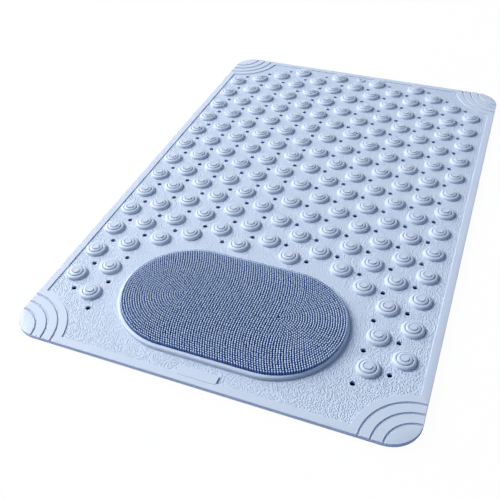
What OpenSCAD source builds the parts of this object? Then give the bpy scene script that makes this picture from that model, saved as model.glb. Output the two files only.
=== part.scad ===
// Foot and bath massage mat, moulded in one piece from a soft rubber.
// X runs across the mat, Y along it, and +Z is up. The origin is at the middle
// of the mat, on the floor that its suction cups stand on.

/* [Sheet] */
// Length of the mat
mat_l = 785; // [700:5:900]
// Width of the mat
mat_w = 500; // [450:5:600]
// Thickness of the sheet at its smooth rim
sheet_t = 6; // [5.4:0.1:7.5]
// Thickness of the field between the rims
web_t = 2.8; // [2:0.1:3.6]
// Height of the rim's underside above the floor
rim_lift = 3; // [2.4:0.1:5]
// Radius of the mat's corners
corner_r = 37; // [25:1:50]
// Rounding of the sheet's upper and lower edges
edge_round = 0.6; // [0.4:0.1:1.5]
// Width of the smooth rim
rim_w = 10; // [6:0.5:14]
// Depth of the grained field below the rim
field_drop = 1.4; // [0.8:0.1:1.8]

/* [Corner fans] */
// Radius of the smooth corner, measured from the sharp corner point
fan_r = 73; // [65:1:85]
// Radius of the innermost groove
groove_r = 35; // [30:1:38]
// Spacing of the grooves
groove_pitch = 13.5; // [12:0.5:15]
// Number of grooves in a corner
groove_count = 3; // [1:1:3]
// Width of a groove at the surface
groove_w = 3; // [2.6:0.1:4]
// Depth of a groove
groove_depth = 1.4; // [0.8:0.1:1.6]

/* [Massage domes] */
// Diameter of a dome at its foot
dome_d = 28.8; // [26:0.2:30]
// Height of a dome above the field
dome_h = 6.8; // [6:0.1:9]
// Diameter of the middle tier
tier_d = 19.6; // [17:0.2:21]
// Diameter of the top tier
crown_d = 10.8; // [8:0.2:12]
// Height of the lower tier's top above the field
tier_z = 4.5; // [3.6:0.1:5]
// Rise of each upper tier's edge above the top of the tier below
tier_step = 0.5; // [0.3:0.1:0.7]
// Width of the groove round the foot of each upper tier
tier_groove_w = 0.9; // [0.5:0.1:1.2]
// Depth of that groove
tier_groove_depth = 0.9; // [0.5:0.1:1.2]
// How far each tier's flank bulges out, as a share of its height
tier_bulge = 0.28; // [0.1:0.02:0.32]

/* [Dome pattern] */
// Spacing of the columns across the mat
col_pitch = 36.3; // [34:0.1:40]
// Spacing of the domes along a column
row_pitch = 47.2; // [44:0.1:54]
// Spacing of the domes beside the brush pad
side_pitch = 50.5; // [46:0.1:56]
// Distance from the far edge to the first full row
first_row_gap = 50.5; // [48:0.5:60]
// How far the pattern sits left of the mat's centre line
pattern_shift = 4; // [0:0.5:6]
// Clear width kept round a dome
dome_clear = 9; // [7:0.5:10]

/* [Drain holes] */
// Diameter of a drain hole
hole_d = 6.4; // [4:0.2:8]
// How far a hole sits from its column, towards the centre line
hole_inset = 11.4; // [9:0.1:13]

/* [Brush pad] */
// Length of the brush pad, across the mat
pad_l = 296; // [260:2:320]
// Width of the brush pad, along the mat
pad_w = 182; // [160:2:190]
// Distance from the near edge of the mat to the pad
pad_gap = 31.5; // [25:0.5:40]
// How far the pad sits right of the mat's centre line
pad_shift = -3.5; // [-4:0.5:4]
// Height of the pad's border above the field
pad_h = 5; // [3:0.1:7]
// Width of the pad's border
pad_border = 5; // [4:0.1:7]
// Rounding of the border's outer edge
pad_round = 3; // [1:0.1:3.5]
// Depth of the bristle bed below the border
bed_drop = 1; // [0.5:0.1:2]
// Height of the bristles above their bed
bristle_h = 6; // [4:0.1:8]
// Thickness of a bristle row
bristle_t = 1.6; // [1:0.1:2]
// Spacing of the bristle rows
bristle_pitch = 3.15; // [2.8:0.05:4]
// How much longer the straight part of each inner row is at either end
bristle_spread = 0.1; // [0:0.05:0.5]

/* [Eyelet and plate] */
// Diameter of the raised eyelet at the far edge
eyelet_d = 14; // [10:0.5:18]
// Diameter of the eyelet's hole
eyelet_hole_d = 4.5; // [3:0.5:7]
// Height of the eyelet above the field
eyelet_h = 1.8; // [1:0.1:3]
// Distance from the far edge to the eyelet's centre
eyelet_gap = 19.5; // [18:0.5:24]
// Length of the bare plate at the near edge
plate_l = 48; // [30:1:60]
// Width of the bare plate
plate_w = 13; // [8:0.5:16]
// Distance from the near edge to the plate
plate_gap = 7.5; // [4:0.5:9]
// Height of the plate above the rim
plate_h = 0.5; // [0.2:0.1:1]

/* [Suction cups] */
// Diameter of a cup at its lip
cup_d = 19; // [14:0.5:24]
// Diameter of a cup's neck
cup_neck_d = 9; // [7:0.5:11]
// Thickness of a cup's lip
cup_lip = 0.8; // [0.6:0.1:1.2]
// Thickness of a cup above its hollow
cup_roof = 1.4; // [1.2:0.1:2]

/* [Hidden] */
$fn = 72;
// Overlap between shapes that are moulded as one
weld = 0.2;
// Number of cone strips that make up a bulging flank
flank_steps = 4;
// Angle by which a corner groove runs past each edge
groove_run_out = 6;
// Top and underside of the field, above the rim's underside
field_z = sheet_t - field_drop;
web_z = field_z - web_t;
cup_h = rim_lift + web_z;
half_l = mat_l / 2;
half_w = mat_w / 2;
dome_r = dome_d / 2;
pad_r = pad_w / 2;
pad_half = pad_l / 2 - pad_r;
pad_x = pad_shift;
pad_y = -half_l + pad_gap + pad_r;
// Half width of the outermost row of bristles, and the rows between it and the middle row
row_r = pad_r - pad_border - bristle_t;
row_count = round(row_r / bristle_pitch);
first_y = half_l - first_row_gap;
// Number of columns on each side of the middle one
side_cols = floor((half_w - pattern_shift - rim_w - dome_r) / col_pitch);
// Number of rows above the brush pad, and in all
upper_rows = round((first_y - pad_y - pad_r) / row_pitch);
all_rows = upper_rows + ceil((pad_y + pad_r + half_l) / side_pitch);
// Smallest distance from a drain hole's centre to the brush pad
hole_clear = 2.5 * hole_d;

// Place of a column and of a row, where row may be a half number
function col_x(col) = col * col_pitch - pattern_shift;
function row_y(row) = first_y - min(row, upper_rows) * row_pitch - max(row - upper_rows, 0) * side_pitch;
// Columns are staggered by half a row
function col_start(col) = abs(col) % 2 == 0 ? 0 : -0.5;
// Distance from a point to the nearest sharp corner, and to the pad's edge
function corner_dist(x, y) = norm([half_w - abs(x), half_l - abs(y)]);
function pad_dist(x, y) = norm([max(abs(x - pad_x) - pad_half, 0), y - pad_y]) - pad_r;
function in_field(x, y, r) = abs(x) < half_w - rim_w - r && abs(y) < half_l - rim_w - r;
function dome_fits(col, row) =
    in_field(col_x(col), row_y(row), dome_r - 1)
    && corner_dist(col_x(col), row_y(row)) > fan_r + dome_r + 1
    && pad_dist(col_x(col), row_y(row)) > dome_r + dome_clear;
// A hole lies between two domes of its column, moved towards the centre line
function hole_x(col) = col_x(col) - sign(col) * hole_inset;
function hole_fits(col, row) =
    (dome_fits(col, row - 0.5) || dome_fits(col, row + 0.5))
    && in_field(hole_x(col), row_y(row), hole_d)
    && pad_dist(hole_x(col), row_y(row)) > hole_clear;

// Places of every dome and every drain hole
dome_spots = [
    for (col = [-side_cols : side_cols], k = [0 : all_rows])
        let (row = k + col_start(col))
        if (dome_fits(col, row)) [col_x(col), row_y(row)]
];
hole_spots = [
    for (col = [-side_cols : side_cols], k = [-1 : all_rows])
        let (row = k + 0.5 + col_start(col))
        if (col != 0 && hole_fits(col, row)) [hole_x(col), row_y(row)]
];

// Rectangle with rounded corners, drawn from its middle
module rounded_rect(w, l, r) {
    square([w, l - 2 * r], center = true);
    square([w - 2 * r, l], center = true);
    for (x = [-1, 1], y = [-1, 1])
        translate([x * (w / 2 - r), y * (l / 2 - r)]) circle(r);
}

// Long shape with half-round ends, drawn from its middle
module stadium(half, r) {
    square([2 * half, 2 * r], center = true);
    for (x = [-1, 1])
        translate([x * half, 0]) circle(r);
}

// Cross section of the rim, from its inner face at x = 0 outwards
module rim_section() {
    difference() {
        square([rim_w, sheet_t]);
        for (z = [0, sheet_t - edge_round])
            translate([rim_w - edge_round, z]) square(edge_round);
    }
    for (z = [edge_round, sheet_t - edge_round])
        translate([rim_w - edge_round, z]) circle(edge_round);
}

// One side of the rim, with its section facing +X
module rim_side(len) {
    rotate([90, 0, 0])
        translate([0, 0, -len / 2])
            linear_extrude(len) rim_section();
}

module rim() {
    straight_l = mat_l - 2 * corner_r;
    straight_w = mat_w - 2 * corner_r;
    for (turn = [0, 180]) rotate(turn) {
        translate([half_w - rim_w, 0, 0]) rim_side(straight_l);
        rotate(90) translate([half_l - rim_w, 0, 0]) rim_side(straight_w);
        for (flip = [0, 1])
            mirror([0, flip, 0])
                translate([half_w - corner_r, half_l - corner_r, 0])
                    rotate_extrude(angle = 90)
                        translate([corner_r - rim_w, 0]) rim_section();
    }
}

// Sheet with its raised rim, its sunk field, the smooth corner fans and a hollow underside
module sheet() {
    inset = rim_w - weld;
    inner_w = mat_w - 2 * inset;
    inner_l = mat_l - 2 * inset;
    rim();
    translate([0, 0, web_z]) {
        linear_extrude(web_t)
            difference() {
                rounded_rect(inner_w, inner_l, corner_r - inset);
                for (spot = hole_spots) translate(spot) circle(d = hole_d);
            }
        linear_extrude(web_t + field_drop)
            intersection() {
                rounded_rect(inner_w, inner_l, corner_r - inset);
                for (x = [-1, 1], y = [-1, 1])
                    translate([x * half_w, y * half_l]) circle(fan_r);
            }
    }
}

// Round-bottomed grooves that fan out from each corner and run off the edges
module corner_grooves() {
    cutter_r = groove_w * groove_w / (8 * groove_depth) + groove_depth / 2;
    for (flip_x = [0, 1], flip_y = [0, 1], k = [0 : groove_count - 1])
        mirror([flip_x, 0, 0])
            mirror([0, flip_y, 0])
                translate([half_w, half_l, sheet_t - groove_depth + cutter_r])
                    rotate(180 - groove_run_out)
                        rotate_extrude(angle = 90 + 2 * groove_run_out)
                            translate([groove_r + k * groove_pitch, 0]) circle(cutter_r);
}

// Points up a tier's flank, which bulges out between its foot and its top
function flank(foot, top) =
    let (run = top - foot, out = [run[1], -run[0]] / norm(run))
    [for (k = [0 : flank_steps])
        let (t = k / flank_steps)
        foot + t * run + 4 * t * (1 - t) * tier_bulge * run[1] * out];

// Massage dome of three tiers, with a fine groove round the foot of each upper one
module dome() {
    tier_r = tier_d / 2;
    crown_r = crown_d / 2;
    tier_foot = tier_z + tier_step;
    tier_top = dome_h - tier_step;
    rotate_extrude()
        polygon(concat(
            [[0, -weld], [dome_r, -weld]],
            flank([dome_r, 0], [tier_r + tier_groove_w, tier_z]),
            [[tier_r, tier_z - tier_groove_depth]],
            flank([tier_r, tier_foot], [crown_r + tier_groove_w, tier_top]),
            [[crown_r, tier_top - tier_groove_depth], [crown_r, dome_h], [0, dome_h]]
        ));
}

// Suction cup: a thin bell on a short neck, hollow below
module suction_cup() {
    cup_r = cup_d / 2;
    neck_r = cup_neck_d / 2;
    hollow_h = cup_h - cup_roof;
    rotate_extrude()
        polygon([
            [0, hollow_h],
            [neck_r - cup_lip, hollow_h],
            [cup_r - cup_lip, 0],
            [cup_r, 0],
            [neck_r, cup_h - cup_lip],
            [neck_r, cup_h + weld],
            [0, cup_h + weld]
        ]);
}

// Border of the brush pad, from the middle of its half-round ends outwards
module pad_section() {
    difference() {
        square([pad_r, pad_h + weld]);
        translate([pad_r - pad_round, pad_h + weld - pad_round]) square(pad_round);
        translate([0, pad_h + weld - bed_drop]) square([pad_r - pad_border, bed_drop]);
    }
    translate([pad_r - pad_round, pad_h + weld - pad_round]) circle(pad_round);
}

// Row of bristles that runs round the pad, as a closed ridge, the k-th from outside
module bristle_row(k) {
    half = pad_half + k * bristle_spread;
    r = row_r * (1 - k / row_count) + bristle_t / 2;
    difference() {
        stadium(half, r);
        if (k < row_count) stadium(half, r - bristle_t);
    }
}

// Raised pad with a smooth border and rows of bristles standing in it
module brush_pad() {
    for (turn = [0, 180]) rotate(turn) {
        translate([pad_half, 0, 0])
            rotate(-90) rotate_extrude(angle = 180) pad_section();
        rotate([90, 0, 90])
            translate([0, 0, -pad_half])
                linear_extrude(2 * pad_half) pad_section();
    }
    for (k = [0 : row_count])
        translate([0, 0, pad_h - bed_drop])
            linear_extrude(bristle_h + weld) bristle_row(k);
}

module mat() {
    color("lightsteelblue")
        translate([0, 0, rim_lift])
            difference() {
                union() {
                    sheet();
                    for (spot = dome_spots)
                        translate([spot[0], spot[1], field_z]) dome();
                    for (spot = dome_spots)
                        translate([spot[0], spot[1], -rim_lift]) suction_cup();
                    translate([pad_x, pad_y, field_z - weld]) brush_pad();
                    translate([0, half_l - eyelet_gap, web_z]) cylinder(d = eyelet_d, h = web_t + eyelet_h);
                    translate([-plate_l / 2, -half_l + plate_gap, field_z - weld])
                        cube([plate_l, plate_w, weld + field_drop + plate_h]);
                }
                corner_grooves();
                translate([0, half_l - eyelet_gap, -1])
                    cylinder(d = eyelet_hole_d, h = sheet_t + eyelet_h + 2);
            }
}

mat();
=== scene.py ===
# %% [markdown]
# # A bath massage mat in pale blue rubber
# The real mat is one soft moulding: a thin sheet with a smooth rim, rows of
# stepped massage domes, an oval pad of bristles for the soles of the feet and
# small suction cups underneath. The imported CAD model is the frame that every
# piece is set against, so it is loaded before anything else.

# %% Load the frame
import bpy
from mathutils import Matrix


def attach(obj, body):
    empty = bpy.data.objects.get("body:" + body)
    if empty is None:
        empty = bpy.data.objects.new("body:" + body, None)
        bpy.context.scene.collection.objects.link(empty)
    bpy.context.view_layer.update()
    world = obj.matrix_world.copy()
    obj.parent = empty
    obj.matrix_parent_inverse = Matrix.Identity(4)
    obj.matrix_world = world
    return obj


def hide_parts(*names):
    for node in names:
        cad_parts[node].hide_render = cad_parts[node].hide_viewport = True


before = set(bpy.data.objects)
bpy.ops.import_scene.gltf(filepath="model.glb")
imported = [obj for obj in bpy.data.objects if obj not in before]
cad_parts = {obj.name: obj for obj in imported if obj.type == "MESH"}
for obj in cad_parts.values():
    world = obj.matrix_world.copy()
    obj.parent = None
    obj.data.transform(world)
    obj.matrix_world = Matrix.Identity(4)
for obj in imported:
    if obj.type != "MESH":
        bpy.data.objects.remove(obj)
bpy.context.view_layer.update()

# %% [markdown]
# Blender works in metres, and a mat is easier to read in millimetres. All the
# sizes below are written in millimetres and turned to metres where a mesh is
# made. They are the sizes of the CAD model, apart from the bed of the brush
# pad, which is a little longer and further right, as the photograph shows it.

# %% Sizes of the mat
import math
import random
import bpy
import numpy as np
from mathutils import Vector

MM = 0.001
mat_w, mat_l = 500, 785
corner_r, rim_w = 37, 10
rim_low, sheet_t = 3, 6
field_drop, web_t = 1.4, 2.8
rim_top = rim_low + sheet_t
field_top = rim_top - field_drop
sheet_under = field_top - web_t
above_all = rim_top + 5
fan_r, groove_radii = 73, (35, 48.5, 62)
dome_r, hole_r, hole_inset = 14.4, 3.2, 11.4
pad_r, pad_half, pad_x, pad_y = 91, 57, -3.5, -270
bed_half, bed_x = pad_half + 1.8, pad_x + 0.8
pad_top = field_top + 5
bed_top = pad_top - 1
eyelet_y, eyelet_hole_r = mat_l / 2 - 19.5, 2.25
print("Top of the field is at", field_top, "mm and the rim at", rim_top, "mm")

# %% [markdown]
# The domes stand in staggered columns: every second column starts half a row
# later, and beside the bristle pad the rows are a little further apart. The
# corners and the pad push away any dome that would touch them. Half-way
# between two domes of a column there is a drain hole, moved towards the middle
# of the mat. A rule with a few numbers places all of them, as a mould maker
# would do it.

# %% Places of the domes and the drain holes
col_pitch, row_pitch, side_pitch, shift = 36.3, 47.2, 50.5, 4
first_y, upper_rows, all_rows, side_cols = mat_l / 2 - 50.5, 11, 16, 6
rim_lap, fan_gap, pad_gap = 1, 1, 9
hole_from_rim, hole_from_pad = 2 * hole_r, 5 * hole_r


def column_x(col):
    return col * col_pitch - shift


def hole_x(col):
    return column_x(col) - math.copysign(hole_inset, col)


def row_y(row):
    return first_y - min(row, upper_rows) * row_pitch - max(row - upper_rows, 0) * side_pitch


def pad_distance(x, y):
    return math.hypot(max(abs(x - pad_x) - pad_half, 0), y - pad_y) - pad_r


def in_field(x, y, r):
    return abs(x) < mat_w / 2 - rim_w - r and abs(y) < mat_l / 2 - rim_w - r


def dome_fits(col, row):
    x, y = column_x(col), row_y(row)
    clear_of_fan = math.hypot(mat_w / 2 - abs(x), mat_l / 2 - abs(y)) > fan_r + dome_r + fan_gap
    return in_field(x, y, dome_r - rim_lap) and clear_of_fan and pad_distance(x, y) > dome_r + pad_gap


def hole_fits(col, row):
    x, y = hole_x(col), row_y(row)
    beside_dome = dome_fits(col, row - 0.5) or dome_fits(col, row + 0.5)
    return beside_dome and in_field(x, y, hole_from_rim) and pad_distance(x, y) > hole_from_pad


dome_spots, hole_spots = [], []
for col in range(-side_cols, side_cols + 1):
    start = 0 if col % 2 == 0 else -0.5
    for k in range(-1, all_rows + 1):
        if dome_fits(col, k + start):
            dome_spots.append((column_x(col), row_y(k + start)))
        if col != 0 and hole_fits(col, k + 0.5 + start):
            hole_spots.append((hole_x(col), row_y(k + 0.5 + start)))
print(len(dome_spots), "domes and", len(hole_spots), "drain holes")

# %% [markdown]
# Operators act on all that is selected, and the loader leaves the CAD nodes
# selected. So each step starts by selecting nothing, and edges or vertices are
# then picked in code by where they lie. Two heights count as the same when
# they differ by less than a hundredth of a millimetre.

# %% Helpers for selecting and finishing
SAME = 0.01


def select_none():
    bpy.ops.object.select_all(action="DESELECT")


def make_active(piece):
    select_none()
    piece.select_set(True)
    bpy.context.view_layer.objects.active = piece


def pick(piece, kind, test):
    """Selects the vertices or edges of a piece that pass a test on their points in mm."""
    make_active(piece)
    bpy.ops.object.mode_set(mode="EDIT")
    bpy.ops.mesh.select_mode(type="EDGE" if kind == "edges" else "VERT")
    bpy.ops.mesh.select_all(action="DESELECT")
    bpy.ops.object.mode_set(mode="OBJECT")
    mesh = piece.data
    points = [v.co / MM for v in mesh.vertices]
    count = 0
    for item in getattr(mesh, kind):
        ends = [points[i] for i in item.vertices] if kind == "edges" else [points[item.index]]
        item.select = test(*ends)
        count += item.select
    if kind == "edges":
        for edge in mesh.edges:
            if edge.select:
                for i in edge.vertices:
                    mesh.vertices[i].select = True
    bpy.ops.object.mode_set(mode="EDIT")
    return count


def round_edges(piece, test, radius, steps):
    """Bevels the edges that pass a test, by a radius in mm, and gives their number."""
    count = pick(piece, "edges", test)
    bpy.ops.mesh.bevel(offset=radius * MM, segments=steps, affect="EDGES")
    bpy.ops.object.mode_set(mode="OBJECT")
    return count


def finish_piece(piece, angle=22):
    """Puts a piece's place in its mesh, turns its faces outwards and smooths its gentle edges."""
    make_active(piece)
    bpy.ops.object.transform_apply(location=True, rotation=True, scale=True)
    bpy.ops.object.mode_set(mode="EDIT")
    bpy.ops.mesh.select_all(action="SELECT")
    bpy.ops.mesh.normals_make_consistent(inside=False)
    bpy.ops.object.mode_set(mode="OBJECT")
    bpy.ops.object.shade_smooth_by_angle(angle=math.radians(angle))
    piece.data.calc_loop_triangles()
    print(f"{piece.name}: {len(piece.data.loop_triangles)} triangles")


print("Helpers for selecting are ready")

# %% [markdown]
# Three helpers make the shapes. A slab is a cube with its upright edges
# rounded. A lathe turns an outline: it fills a circle, and extrudes and scales
# it ring by ring. The last one copies a model to many places in one mesh,
# which is much faster than thousands of objects.

# %% Helpers for making and cutting


def slab(name, width, length, low, high, radius, steps=14):
    """A cube primitive with its four upright edges rounded."""
    select_none()
    bpy.ops.mesh.primitive_cube_add(size=1, location=(0, 0, (low + high) / 2 * MM))
    piece = bpy.context.object
    piece.name = name
    piece.scale = (width * MM, length * MM, (high - low) * MM)
    bpy.ops.object.transform_apply(location=True, rotation=True, scale=True)
    round_edges(piece, lambda a, b: abs(a.z - b.z) > SAME, radius, steps)
    return piece


def lathe(name, outline, sides, turn=0.0):
    """A closed turned piece. The outline gives a radius and a height in mm, from the foot up."""
    select_none()
    radius, low = outline[0]
    bpy.ops.mesh.primitive_circle_add(
        vertices=sides, radius=radius * MM, fill_type="NGON", location=(0, 0, low * MM)
    )
    piece = bpy.context.object
    piece.name = name
    piece.rotation_euler.z = turn
    bpy.ops.object.transform_apply(location=True, rotation=True, scale=True)
    bpy.ops.object.mode_set(mode="EDIT")
    bpy.ops.mesh.select_all(action="SELECT")
    for (r0, z0), (r1, z1) in zip(outline, outline[1:]):
        bpy.ops.mesh.extrude_region_move(TRANSFORM_OT_translate={"value": (0, 0, (z1 - z0) * MM)})
        bpy.ops.transform.resize(value=(r1 / r0, r1 / r0, 1), center_override=(0, 0, z1 * MM))
    bpy.ops.object.mode_set(mode="OBJECT")
    return piece


def raised(outline, base):
    """An outline with its heights counted from a base."""
    return [(r, base + z) for r, z in outline]


def copies(model, places, name):
    """One mesh with a copy of the model at each place: x, y and z in mm, and a lean in x and y."""
    mesh = model.data
    points = np.array([v.co[:] for v in mesh.vertices])
    faces = [tuple(p.vertices) for p in mesh.polygons]
    base = points[:, 2].min()
    all_points, all_faces = [], []
    for x, y, z, lean_x, lean_y in places:
        moved = points + np.array([x, y, z]) * MM
        moved[:, 0] += lean_x * (points[:, 2] - base)
        moved[:, 1] += lean_y * (points[:, 2] - base)
        first = len(all_points) * len(points)
        all_points.append(moved)
        all_faces += [tuple(i + first for i in face) for face in faces]
    made = bpy.data.meshes.new(name)
    made.from_pydata(np.concatenate(all_points).tolist(), [], all_faces)
    piece = bpy.data.objects.new(name, made)
    bpy.context.collection.objects.link(piece)
    bpy.data.objects.remove(model, do_unlink=True)
    return piece


def upright(spots):
    """Places for copies that stand upright at the height of their model."""
    return [(x, y, 0, 0, 0) for x, y in spots]


def cut(piece, cutter):
    """Cuts one piece out of another and deletes the cutter."""
    make_active(piece)
    tool = piece.modifiers.new("cut", "BOOLEAN")
    tool.operation = "DIFFERENCE"
    tool.solver = "EXACT"
    tool.object = cutter
    bpy.ops.object.modifier_apply(modifier=tool.name)
    bpy.data.objects.remove(cutter, do_unlink=True)


def joined(pieces):
    """All the pieces as one."""
    select_none()
    for piece in pieces:
        piece.select_set(True)
    bpy.context.view_layer.objects.active = pieces[0]
    bpy.ops.object.join()
    return pieces[0]


print("Helpers for making are ready")

# %% [markdown]
# ## The sheet
# The sheet is a rounded slab. It could be drawn as a curve and extruded, but a
# cube whose corner edges are bevelled is as quick and stays a clean mesh. The
# upper and lower edges get a small rounding of their own, because rubber never
# leaves the mould with a knife edge, and that rounding catches the light.

# %% Slab with rounded edges
edge_round, speck = 0.6, 0.1


def level_edge(a, b):
    return abs(a.z - b.z) < SAME and (a - b).length > speck


sheet = slab("sheet", mat_w, mat_l, rim_low, rim_top, corner_r)
picked = round_edges(sheet, level_edge, edge_round, 3)
print("Rounded", picked, "edges of the slab")

# %% [markdown]
# The grained field lies a little below the rim, and quarter-round fans in the
# corners stay at the height of the rim. One cutter makes it: a slab of the
# field's outline from which four discs are taken first. A second, plain slab
# hollows the underside, which leaves the rim as the thickest part.

# %% Sunk field and hollow underside
field_w, field_l, field_corner_r = mat_w - 2 * rim_w, mat_l - 2 * rim_w, corner_r - rim_w
disc_t = 20
corners = [(sx * mat_w / 2, sy * mat_l / 2) for sx in (-1, 1) for sy in (-1, 1)]
field_cutter = slab("field_cutter", field_w, field_l, field_top, above_all, field_corner_r)
for x, y in corners:
    select_none()
    bpy.ops.mesh.primitive_cylinder_add(
        vertices=128, radius=fan_r * MM, depth=disc_t * MM, location=(x * MM, y * MM, rim_top * MM)
    )
    cut(field_cutter, bpy.context.object)
cut(sheet, field_cutter)
under_cutter = slab("under_cutter", field_w, field_l, 0, sheet_under, field_corner_r)
cut(sheet, under_cutter)
print("The sheet is", round(field_top - sheet_under, 1), "mm thick between rims")

# %% [markdown]
# The rim's inner edge is a crisp line in the mould, softened by a tiny bevel.
# Only edges at the height of the rim that lie along the field or along a fan
# belong to it.

# %% Soften the rim's inner edge
inner_round = 0.3


def on_inner_rim(a, b):
    level = max(abs(a.z - rim_top), abs(b.z - rim_top)) < 2 * SAME
    middle = (a + b) / 2
    edge_x, edge_y = mat_w / 2 - abs(middle.x), mat_l / 2 - abs(middle.y)
    near_rim = min(abs(edge_x - rim_w), abs(edge_y - rim_w)) < inner_round
    near_fan = abs(math.hypot(edge_x, edge_y) - fan_r) < inner_round
    return level and (near_rim or near_fan)


picked = round_edges(sheet, on_inner_rim, inner_round, 2)
print("Softened", picked, "edges of the inner rim")

# %% [markdown]
# ## Corner grooves
# Each corner has three round-bottomed grooves that run off the edges. A torus
# is the right cutter, because its tube leaves a round groove of even depth.

# %% Cut the corner grooves
groove_w, groove_depth = 3.0, 1.4
tube_r = groove_w**2 / (8 * groove_depth) + groove_depth / 2
rings = []
for x, y in corners:
    for radius in groove_radii:
        select_none()
        bpy.ops.mesh.primitive_torus_add(
            major_radius=radius * MM,
            minor_radius=tube_r * MM,
            major_segments=160,
            minor_segments=20,
            location=(x * MM, y * MM, (rim_top - groove_depth + tube_r) * MM),
        )
        rings.append(bpy.context.object)
cut(sheet, joined(rings))
print("Cut", len(rings), "grooves")

# %% [markdown]
# ## Drain holes
# The drain holes are plain cylinders with a flare at the top, where the mould
# rounds their edge. All the cutters are one mesh, so that one boolean cuts
# them. The eyelet's hanging hole goes through the sheet and, later, through
# the eyelet's ring, so its cutter is made by a function.

# %% Cut the drain holes
flare = 0.35
hole_outline = [
    (hole_r, sheet_under - 2),
    (hole_r, field_top - flare),
    (hole_r + flare * 0.3, field_top - flare * 0.3),
    (hole_r + flare, field_top),
    (hole_r + flare, field_top + 1),
]


def eyelet_drill():
    drill = lathe("eyelet_drill", [(eyelet_hole_r, 0), (eyelet_hole_r, above_all)], 32)
    drill.location.y = eyelet_y * MM
    return drill


hole_cutter = copies(lathe("hole", hole_outline, 24), upright(hole_spots), "hole_cutters")
finish_piece(hole_cutter)
cut(sheet, hole_cutter)
cut(sheet, eyelet_drill())
finish_piece(sheet)
print("Cut", len(hole_spots), "drain holes and the hanging hole")

# %% [markdown]
# ## The massage domes
# A dome has three tiers. Each upper tier stands in a fine groove, so that a
# thin dark line and a bright lip show on the side of the light. It is turned
# from its outline, like a bead on a lathe. One dome is modelled and then
# copied to each place. With 28 sides it looks round, and all the domes stay
# under 200,000 triangles.

# %% Turn one dome and set out the rows
tiers = [
    (14.4, -0.6), (14.4, 0.3), (14.35, 1.4), (14.0, 2.6), (13.3, 3.55), (12.3, 4.2), (11.0, 4.55),
    (10.4, 4.6), (10.1, 4.45), (9.6, 3.5),
    (9.3, 3.5), (9.25, 4.9), (9.0, 5.25), (8.2, 5.65), (6.9, 6.0),
    (6.3, 6.15), (5.9, 6.0), (5.35, 5.15),
    (4.95, 5.15), (4.9, 6.5), (4.65, 6.8), (2.8, 6.8),
]
dome = lathe("dome", raised(tiers, field_top), 28)
domes = copies(dome, upright(dome_spots), "domes")
finish_piece(domes, angle=33)

# %% [markdown]
# Light hardly gets into the fine grooves, so they get a deeper blue painted shade. Each vertex carries
# a number that says whether it lies at the foot of a groove, and the material mixes in the painted
# shade by that number.

# %% Mark the feet of the grooves
groove_feet = (3.5, 5.15)
# This mark says where the domes get painted shade.
marks = domes.data.attributes.new("groove", "FLOAT", "POINT")
for vertex, mark in zip(domes.data.vertices, marks.data):
    height = vertex.co.z / MM - field_top
    mark.value = float(min(abs(height - foot) for foot in groove_feet) < 2 * SAME)
print(sum(mark.value for mark in marks.data), "vertices lie in a groove")

# %% [markdown]
# ## The suction cups
# The underside can't be seen in the photograph. Mats of this kind stand on
# small cups, one below each dome, so each is a thin hollow bell on a short
# neck. The outline starts in the hollow, comes down to the lip, and goes up
# the outside and over the neck into the sheet.

# %% Turn one cup and set out the rows
bell = [
    (3.7, 3.4), (6.2, 1.75), (8.7, 0.0), (9.5, 0.0), (9.3, 0.4), (6.9, 2.2), (4.9, 3.7), (4.5, 4.2),
    (4.5, sheet_under + 0.4),
]
cup = lathe("cup", bell, 20)
cups = copies(cup, upright(dome_spots), "suction_cups")
finish_piece(cups, angle=40)

# %% [markdown]
# ## The brush pad
# The pad has straight sides and half-round ends. All the outlines of its
# border stay parallel, which scaling can't do. So it is turned as a round dish
# first, and then its two halves are pulled apart along X. The bed inside the
# border is pulled a little further, and a little to the right.

# %% Turn the dish and pull its halves apart
dish = [
    (pad_r, field_top - 0.6),
    (pad_r, field_top + 0.3),
    (pad_r, field_top + 2.0),
    (pad_r - 0.25, field_top + 3.2),
    (pad_r - 0.9, field_top + 4.2),
    (pad_r - 1.9, pad_top - 0.15),
    (pad_r - 3.0, pad_top),
    (pad_r - 4.6, pad_top),
    (pad_r - 4.95, pad_top - 0.2),
    (pad_r - 5.1, bed_top),
    (1.0, bed_top),
]
dish_sides, lip_r = 128, pad_r - 4


def pull(piece, side, reach, distance):
    """Moves the vertices of one half, out to a reach in mm, by a distance along X."""
    pick(piece, "vertices", lambda a: a.x * side > 0.1 * SAME and math.hypot(a.x, a.y) < reach)
    bpy.ops.transform.translate(value=(distance * MM, 0, 0))
    bpy.ops.object.mode_set(mode="OBJECT")


brush_pad = lathe("brush_pad", dish, dish_sides, turn=math.pi / dish_sides)
for side in (-1, 1):
    pull(brush_pad, side, lip_r, side * (bed_half - pad_half) + bed_x - pad_x)
    pull(brush_pad, side, math.inf, side * pad_half)
brush_pad.location = (pad_x * MM, pad_y * MM, 0)
finish_piece(brush_pad, angle=40)

# %% [markdown]
# ## The bristles
# The bristles are the detail that takes the eye. Each is a six-sided peg with
# a rounded tip, because there are thousands of them and a few faces each are
# enough.

# %% Model one bristle
peg = [(0.95, -0.3), (0.95, 5.3), (0.82, 5.85), (0.55, 6.0)]
bristle = lathe("bristle", raised(peg, bed_top), 6)
print("A bristle has", len(bristle.data.polygons), "faces")

# %% [markdown]
# The bristles stand in rings that follow the pad's outline, from the border to
# a straight row in the middle. Each ring has straight sides a little longer
# than the ring around it. The outer rings are turned by part of a step against
# one another, which draws the slanting columns that the photograph shows. A
# tiny shift and lean, from a seeded random source, break the rows as soft
# rubber does.

# %% Stand the bristles in their rings
outer_r, ring_count, spread, step_along = 84.4, 27, 0.1, 3.2
lag_rate, lag_rings = 0.012, 20
shift_x, shift_y, sink, lean = 0.1, 0.2, 0.15, 0.04
dice = random.Random(7)
places = []


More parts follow.
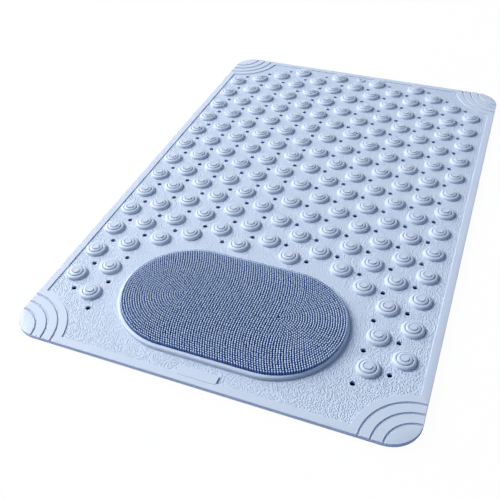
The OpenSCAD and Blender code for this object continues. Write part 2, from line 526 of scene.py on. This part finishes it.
def on_ring(half, r, s):
    """The point on a ring that lies s mm along it from the middle of its near side."""
    side, s = math.copysign(1, s), abs(s)
    arc = math.pi * r
    if s < half:
        return side * s, -r
    if s < half + arc:
        return side * (half + r * math.sin((s - half) / r)), -r * math.cos((s - half) / r)
    return side * (2 * half + arc - s), r


for n in range(ring_count + 1):
    half, ring_r = bed_half + n * spread, outer_r * (1 - n / ring_count)
    total = 4 * half + 2 * math.pi * ring_r
    count = 2 * round(total / step_along / 2)
    step = total / count
    lag = lag_rate * max(0, lag_rings - n) ** 2
    for k in range(count) if n < ring_count else range(count // 4, 3 * count // 4):
        s = ((k + lag) % count - count // 2) * step
        x, y = on_ring(half, ring_r, s)
        x += dice.uniform(-shift_x, shift_x)
        y += dice.uniform(-shift_y, shift_y)
        lean_x, lean_y = dice.uniform(-lean, lean), dice.uniform(-lean, lean)
        places.append((bed_x + x, pad_y + y, dice.uniform(-sink, 0.0), lean_x, lean_y))
bristles = copies(bristle, places, "bristles")
finish_piece(bristles, angle=60)
print(len(places), "bristles")

# %% [markdown]
# ## Eyelet and plate
# At the far edge a small raised ring takes a hook, and at the near edge lies a
# thin plate, which stays bare here. Both are low bosses with softened edges.

# %% Turn the eyelet
boss = [(7.0, -0.6), (7.0, 1.3), (6.7, 1.65), (6.2, 1.8), (3.2, 1.8)]
eyelet = lathe("eyelet", raised(boss, field_top), 48)
eyelet.location.y = eyelet_y * MM
make_active(eyelet)
bpy.ops.object.transform_apply(location=True, rotation=True, scale=True)
cut(eyelet, eyelet_drill())
finish_piece(eyelet)

# %% Bevel the plate
plate_l, plate_w, plate_from_end = 48, 13, 7.5
plate_top = rim_top + 0.5
plate = slab("bare_plate", plate_l, plate_w, field_top - 0.5, plate_top, 1.5, 4)
plate.location.y = -(mat_l / 2 - plate_from_end - plate_w / 2) * MM
round_edges(plate, lambda a, b: min(a.z, b.z) > plate_top - 10 * SAME, inner_round, 2)
finish_piece(plate)

# %% [markdown]
# ## Materials
# Everything is the same pale blue rubber, satin and a little waxy. What changes is the surface: the
# field between the domes has a fine leather grain from the mould, the rim, the domes and the pad's
# border are smooth, and the bristles are painted deep blue low down, as shade where light hardly
# reaches. Shade is painted into the grooves, the holes and the outer wall too. Shader sums are easier
# to read as Python expressions, so a small class wraps a socket and turns each sign into a Math node.

# %% A small class for shader maths


class Wire:
    """A socket in a node tree, on which sums can be written."""

    def __init__(self, tree, socket):
        self.tree, self.socket = tree, socket

    def sum(self, operation, a, b=0.0):
        return add_node(self.tree, "ShaderNodeMath", {"operation": operation}, {0: a, 1: b}, out=0)

    def __add__(self, other):
        return self.sum("ADD", self, other)

    def __sub__(self, other):
        return self.sum("SUBTRACT", self, other)

    def __rsub__(self, other):
        return self.sum("SUBTRACT", other, self)

    def __mul__(self, other):
        return self.sum("MULTIPLY", self, other)

    def __truediv__(self, other):
        return self.sum("DIVIDE", self, other)

    def __pow__(self, other):
        return self.sum("POWER", self, other)

    def __abs__(self):
        return self.sum("ABSOLUTE", self)

    def lower_of(self, other):
        return self.sum("MINIMUM", self, other)

    def higher_of(self, other):
        return self.sum("MAXIMUM", self, other)


def add_node(tree, kind, settings=None, inputs=None, out=None):
    """Adds a node, sets it up, then sets or links its inputs. Gives one output, or the node."""
    node = tree.nodes.new(kind)
    for key, value in (settings or {}).items():
        setattr(node, key, value)
    for key, value in (inputs or {}).items():
        if isinstance(value, Wire):
            tree.links.new(value.socket, node.inputs[key])
        else:
            node.inputs[key].default_value = value
    return node if out is None else Wire(tree, node.outputs[out])


print("Sums can be written on sockets")

# %% [markdown]
# A few short functions on wires make the masks and mixtures. A ramp runs
# smoothly from one value to another, and most masks here are ramps over a
# distance or a height in millimetres. Object coordinates are used throughout,
# so every pattern stays with the mat.

# %% Shader helpers
SATIN = 0.42


def new_material(name, roughness=SATIN):
    """A material with its Principled shader and its Object coordinates."""
    material = bpy.data.materials.new(name)
    material.use_nodes = True
    tree = material.node_tree
    shader = tree.nodes["Principled BSDF"]
    shader.inputs["Roughness"].default_value = roughness
    shader.inputs["IOR"].default_value = 1.45
    where = add_node(tree, "ShaderNodeTexCoord", out="Object")
    return material, shader, where


def axes_mm(where):
    """The three coordinates of a point in mm."""
    axes = add_node(where.tree, "ShaderNodeSeparateXYZ", inputs={0: where})
    return [Wire(where.tree, axes.outputs[name]) / MM for name in "XYZ"]


def ramp(value, low, high, start=0.0, end=1.0):
    """Runs smoothly from start to end while a wire goes from low to high."""
    smooth_step = {"interpolation_type": "SMOOTHSTEP"}
    inputs = {"Value": value, "From Min": low, "From Max": high, "To Min": start, "To Max": end}
    return add_node(value.tree, "ShaderNodeMapRange", smooth_step, inputs, out="Result")


def below(value, low, high):
    """A mask that is 1 under low and 0 over high."""
    return ramp(value, low, high, 1.0, 0.0)


def mix_color(factor, a, b):
    """Mixes two colours. Input 0 of the Mix node is its factor, 6 and 7 are the colours."""
    return add_node(factor.tree, "ShaderNodeMix", {"data_type": "RGBA"}, {0: factor, 6: a, 7: b}, out=2)


def mix_shader(factor, a, b):
    """Mixes two shader nodes."""
    node = add_node(factor.tree, "ShaderNodeMixShader", inputs={0: factor})
    factor.tree.links.new(a.outputs[0], node.inputs[1])
    factor.tree.links.new(b.outputs[0], node.inputs[2])
    return node


def noise(where, scale, detail, out="Fac"):
    """A noise with about that many waves in a metre."""
    inputs = {"Vector": where, "Scale": scale, "Detail": detail}
    return add_node(where.tree, "ShaderNodeTexNoise", inputs=inputs, out=out)


print("Shader helpers are ready")

# %% [markdown]
# The grain is made of small rounded pebbles about two millimetres wide. A
# Voronoi pattern gives the pebbles, and its points are first moved about by a
# noise, because plain cells look like a honeycomb. Every rubber also gets a
# finer noise, the matt bloom of the mould, and a faint cloudiness that goes
# from its colour towards a deeper blue and from satin towards matt.

# %% Surfaces of the rubber
PALE = (0.610, 0.685, 0.806, 1)
DEEP = (0.420, 0.520, 0.720, 1)
pebble_size, bloom_height = 1.95, 0.03


def pebbles(where, size):
    """Rounded pebbles of about that size in mm, as a height from 0 to 1."""
    wander = noise(where, 1 / (size * 1.5 * MM), 1.0, out="Color")
    inputs = {0: wander, 1: (size * 0.3 * MM,) * 3, 2: where}
    moved = add_node(where.tree, "ShaderNodeVectorMath", {"operation": "MULTIPLY_ADD"}, inputs, out=0)
    inputs = {"Vector": moved, "Scale": 1 / (size * MM)}
    cells = add_node(where.tree, "ShaderNodeTexVoronoi", {"feature": "F1"}, inputs, out="Distance")
    return below(cells, 0.1, 0.7)


def finish_rubber(shader, where, height, depth, color):
    """Gives a rubber its bump, of a depth in mm, its colour, its bloom and its cloudiness."""
    total = height + noise(where, 2200.0, 2.0) * bloom_height
    inputs = {"Height": total, "Strength": 1.0, "Distance": depth * MM}
    bump = add_node(where.tree, "ShaderNodeBump", inputs=inputs, out="Normal")
    where.tree.links.new(bump.socket, shader.inputs["Normal"])
    cloud = noise(where, 9.0, 3.0)
    tint = mix_color(ramp(cloud, 0.3, 0.7, 0.0, 0.06), color, DEEP)
    where.tree.links.new(tint.socket, shader.inputs["Base Color"])
    rough = ramp(cloud, 0.3, 0.7, 0.40, 0.48)
    where.tree.links.new(rough.socket, shader.inputs["Roughness"])


print("Pebbles are", pebble_size, "mm wide")

# %% [markdown]
# On the sheet, a mask from the distances to the edges and to the corners keeps the rim and the fans
# smooth. Three more masks, from the height and the same distances, find the corner grooves, the walls
# of the drain holes and the outer wall. These see little light, so a deeper blue painted shade is mixed
# into them.

# %% Rubber of the sheet
PEBBLE_TOP_LIT = (0.68, 0.755, 0.88, 1)
PEBBLE_FOOT_SHADED = (0.603, 0.695, 0.845, 1)
# The next three colours are painted shade for the corner grooves, the drain holes and the outer wall.
FAN_GROOVE_SHADE = (0.40, 0.47, 0.60, 1)
HOLE_SHADE = (0.30, 0.46, 0.86, 1)
WALL_SHADE = (0.38, 0.48, 0.72, 1)

grained, shader, where = new_material("grained_rubber")
x_mm, y_mm, z_mm = axes_mm(where)
from_side, from_end = mat_w / 2 - abs(x_mm), mat_l / 2 - abs(y_mm)
from_edge = from_side.lower_of(from_end)
from_corner = (from_side * from_side + from_end * from_end) ** 0.5
field_mask = ramp(from_edge, rim_w + 0.5, rim_w + 2.0) * ramp(from_corner, fan_r + 0.5, fan_r + 2.0)
grain = pebbles(where, pebble_size) * field_mask
# The field's pebbles get painted shade at their feet and painted light on their tops.
color = mix_color(field_mask, PALE, PEBBLE_FOOT_SHADED)
color = mix_color(grain * 0.4, color, PEBBLE_TOP_LIT)
inside_edge = ramp(from_edge, 1.0, 2.0)
# Painted shade in the corner grooves.
fan_groove_shade_mask = below(z_mm, rim_top - 1.2, rim_top - 0.1) * below(from_corner, fan_r - 3, fan_r - 2)
# Painted shade on the walls of the drain holes.
hole_shade_mask = below(z_mm, field_top - 1.2, field_top - 0.2)
# Painted shade on the outer wall of the sheet.
wall_shade_mask = below(z_mm, rim_top - 1.0, rim_top - 0.5) * (1 - inside_edge)
color = mix_color(fan_groove_shade_mask * inside_edge, color, FAN_GROOVE_SHADE)
color = mix_color(hole_shade_mask * inside_edge, color, HOLE_SHADE)
color = mix_color(wall_shade_mask, color, WALL_SHADE)
finish_rubber(shader, where, grain, 0.78, color)
print("The grain starts", rim_w + 0.5, "mm from the edges")

# %% [markdown]
# The domes, the cups, the eyelet and the plate are smooth, with a calm, very shallow waviness. The
# number that the domes' vertices carry mixes a painted shade into their grooves, and on the other
# pieces, which don't carry it, it counts as zero.

# %% Rubber of the domes, cups, eyelet and plate
# Painted shade for the fine grooves of the domes.
DOME_GROOVE_SHADE = (0.16, 0.24, 0.46, 1)
smooth, shader, where = new_material("smooth_rubber")
groove = add_node(where.tree, "ShaderNodeAttribute", {"attribute_name": "groove"}, out="Fac")
color = mix_color(groove * 0.55, PALE, DOME_GROOVE_SHADE)
finish_rubber(shader, where, noise(where, 160.0, 2.0), 0.05, color)
print("Smooth rubber uses the same pale blue")

# %% [markdown]
# Between the bristles light is lost by many reflections in blue rubber, so they are painted from a pale
# tip of painted light to a deep blue foot of painted shade, and the bed they stand in gets the same
# painted shade. The colour follows the height, so it is the same from every point of view. The
# outermost bristles get painted light low down, as the photograph shows them.

# %% Rubber of the brush pad
# Painted shade for the bristles' feet and the bed, and painted light for their tips.
GAP_SHADE = (0.001, 0.086, 0.420, 1)
TIP = (0.71, 0.86, 1.0, 1)


def from_bed_middle(where):
    """How far a point lies from the bed's middle line, and its height, both in mm."""
    x_mm, y_mm, z_mm = axes_mm(where)
    past_x = (abs(x_mm - bed_x) - bed_half).higher_of(0.0)
    past_y = y_mm - pad_y
    return (past_x * past_x + past_y * past_y) ** 0.5, z_mm


bordered, shader, where = new_material("pad_rubber")
from_middle, z_mm = from_bed_middle(where)
# The bed inside the border gets painted shade.
bed_shade_mask = below(z_mm, bed_top, bed_top + 0.8) * below(from_middle, pad_r - 5.0, pad_r - 4.6)
finish_rubber(shader, where, noise(where, 160.0, 2.0), 0.05, mix_color(bed_shade_mask, PALE, GAP_SHADE))
print("The bed is deep blue like the feet of the bristles")

# %% Rubber of the bristles
tufted, shader, where = new_material("bristle_rubber")
shader.inputs["Specular IOR Level"].default_value = 0.25
from_middle, z_mm = from_bed_middle(where)
# The tips, and the outermost bristles low down, get painted light; the rest stays painted shade.
outermost = ramp(from_middle, pad_r - 8.2, pad_r - 7.2, 0.0, 0.3)
tip_light_mask = ramp(z_mm, bed_top + 3.9, bed_top + 5.2).higher_of(outermost)
finish_rubber(shader, where, noise(where, 400.0, 1.0), 0.03, mix_color(tip_light_mask, GAP_SHADE, TIP))
print("Bristles run from deep blue to pale")

# %% [markdown]
# Every piece gets its material and rides on the mat's one body. The sheet stands in for the CAD mat,
# which is hidden.

# %% Give out the materials and tie the pieces to the frame
dressed = [
    (sheet, grained),
    (domes, smooth),
    (cups, smooth),
    (brush_pad, bordered),
    (bristles, tufted),
    (eyelet, smooth),
    (plate, smooth),
]
for piece, material in dressed:
    piece.data.materials.clear()
    piece.data.materials.append(material)
    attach(piece, "root")
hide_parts("mat")
print(len(dressed), "pieces ride on the mat's body")

# %% [markdown]
# ## Floor and sky
# The photograph shows the mat on pure white. The floor glows white to the camera and still takes a
# faint shadow. Under the mat it is painted nearly black as shade and has no glow, so the drain holes
# look into the dark, as they should. Seen from below the floor is clear, and under the mat it lets the
# sky's light through, so a view from there shows the suction cups.

# %% White floor
# The floor under the mat is painted nearly black as shade.
UNDER_MAT_SHADE = (0.02, 0.025, 0.04, 1)
FLOOR = (0.9, 0.9, 0.9, 1)
glow_share, dark_from, dark_to = 0.97, 20, 14

select_none()
bpy.ops.mesh.primitive_plane_add(size=14, location=(0, 0, -0.0005))
floor = bpy.context.object
floor.name = "floor"
white, shader, where = new_material("studio_white", roughness=0.9)
shader.inputs["Specular IOR Level"].default_value = 0.0
tree = where.tree
x_mm, y_mm, z_mm = axes_mm(where)
off_side = ramp(abs(x_mm), mat_w / 2 - dark_from, mat_w / 2 - dark_to)
off_end = ramp(abs(y_mm), mat_l / 2 - dark_from, mat_l / 2 - dark_to)
under_mat = (1 - off_side) * (1 - off_end)
beside_mat = 1 - under_mat
floor_color = mix_color(beside_mat, UNDER_MAT_SHADE, FLOOR)
tree.links.new(floor_color.socket, shader.inputs["Base Color"])
glow = add_node(tree, "ShaderNodeEmission", inputs={"Color": (1, 1, 1, 1), "Strength": 1.0})
to_camera = add_node(tree, "ShaderNodeLightPath", out="Is Camera Ray")
lit = mix_shader(to_camera * beside_mat * glow_share, shader, glow)
from_below = add_node(tree, "ShaderNodeNewGeometry", out="Backfacing")
solid = (1 - (1 - to_camera) * under_mat) * (1 - from_below)
clear = add_node(tree, "ShaderNodeBsdfTransparent")
surface = mix_shader(1 - solid, lit, clear)
tree.links.new(surface.outputs[0], tree.nodes["Material Output"].inputs["Surface"])
floor.data.materials.append(white)
print("The floor is white to the camera")

# %% [markdown]
# The sky gives a weak bluish light to the mat, which fills the shade, and is
# plain white to the camera.

# %% Sky
SKY_BLUE, sky_level = (0.46, 0.64, 1.0, 1), 0.20
world = bpy.context.scene.world or bpy.data.worlds.new("studio")
bpy.context.scene.world = world
world.use_nodes = True
tree = world.node_tree
tree.nodes.clear()
sky = add_node(tree, "ShaderNodeBackground", inputs={"Color": SKY_BLUE, "Strength": sky_level})
plain = add_node(tree, "ShaderNodeBackground", inputs={"Color": (1, 1, 1, 1), "Strength": 1.0})
to_camera = add_node(tree, "ShaderNodeLightPath", out="Is Camera Ray")
seen_sky = mix_shader(to_camera, sky, plain)
end = add_node(tree, "ShaderNodeOutputWorld")
tree.links.new(seen_sky.outputs[0], end.inputs["Surface"])
print("The sky is white to the camera and bluish to the mat")

# %% [markdown]
# ## Lamps
# The photograph is lit softly from the upper left. A large lamp stands on that
# side, and a second one lower and further back makes the long, broad shade
# beside the pad and the domes. A weak bluish lamp from above fills the rest.

# %% Lamps
WARM, COOL = (1.0, 0.97, 0.92), (0.62, 0.78, 1.0)


def lamp(name, place, size, power, color):
    """A round lamp, with its size in metres and its power in watts, that faces the mat's middle."""
    data = bpy.data.lights.new(name, "AREA")
    data.shape = "DISK"
    data.size = size
    data.energy = power
    data.color = color
    made = bpy.data.objects.new(name, data)
    made.location = place
    made.rotation_euler = (-Vector(place)).to_track_quat("-Z", "Y").to_euler()
    bpy.context.collection.objects.link(made)
    return made


key = lamp("key", (-3.3, -0.1, 3.1), 2.6, 212, WARM)
low = lamp("low", (-4.7, 2.0, 2.1), 2.6, 126, WARM)
fill = lamp("fill", (-1.2, -0.9, 3.2), 2.5, 20, COOL)
print("Lamps of", [made.data.energy for made in (key, low, fill)], "W")

# %% [markdown]
# ## Camera
# The camera was found by fitting the mat's edges and its drain holes to the
# photograph: it stands near one end of the mat, a little to the right, and
# looks down at about forty degrees.

# %% Camera
lens = bpy.data.cameras.new("camera")
lens.sensor_width, lens.sensor_fit, lens.lens = 36, "HORIZONTAL", 48.638
lens.clip_start, lens.clip_end = 0.01, 50
camera = bpy.data.objects.new("camera", lens)
camera.location = (0.24073, -0.80232, 0.61498)
camera.rotation_euler = [math.radians(a) for a in (48.9212, 1.2124, 21.1333)]
bpy.context.collection.objects.link(camera)
bpy.context.scene.camera = camera
bpy.context.scene.view_settings.view_transform = "Standard"
print("Camera at", [round(v, 3) for v in camera.location])
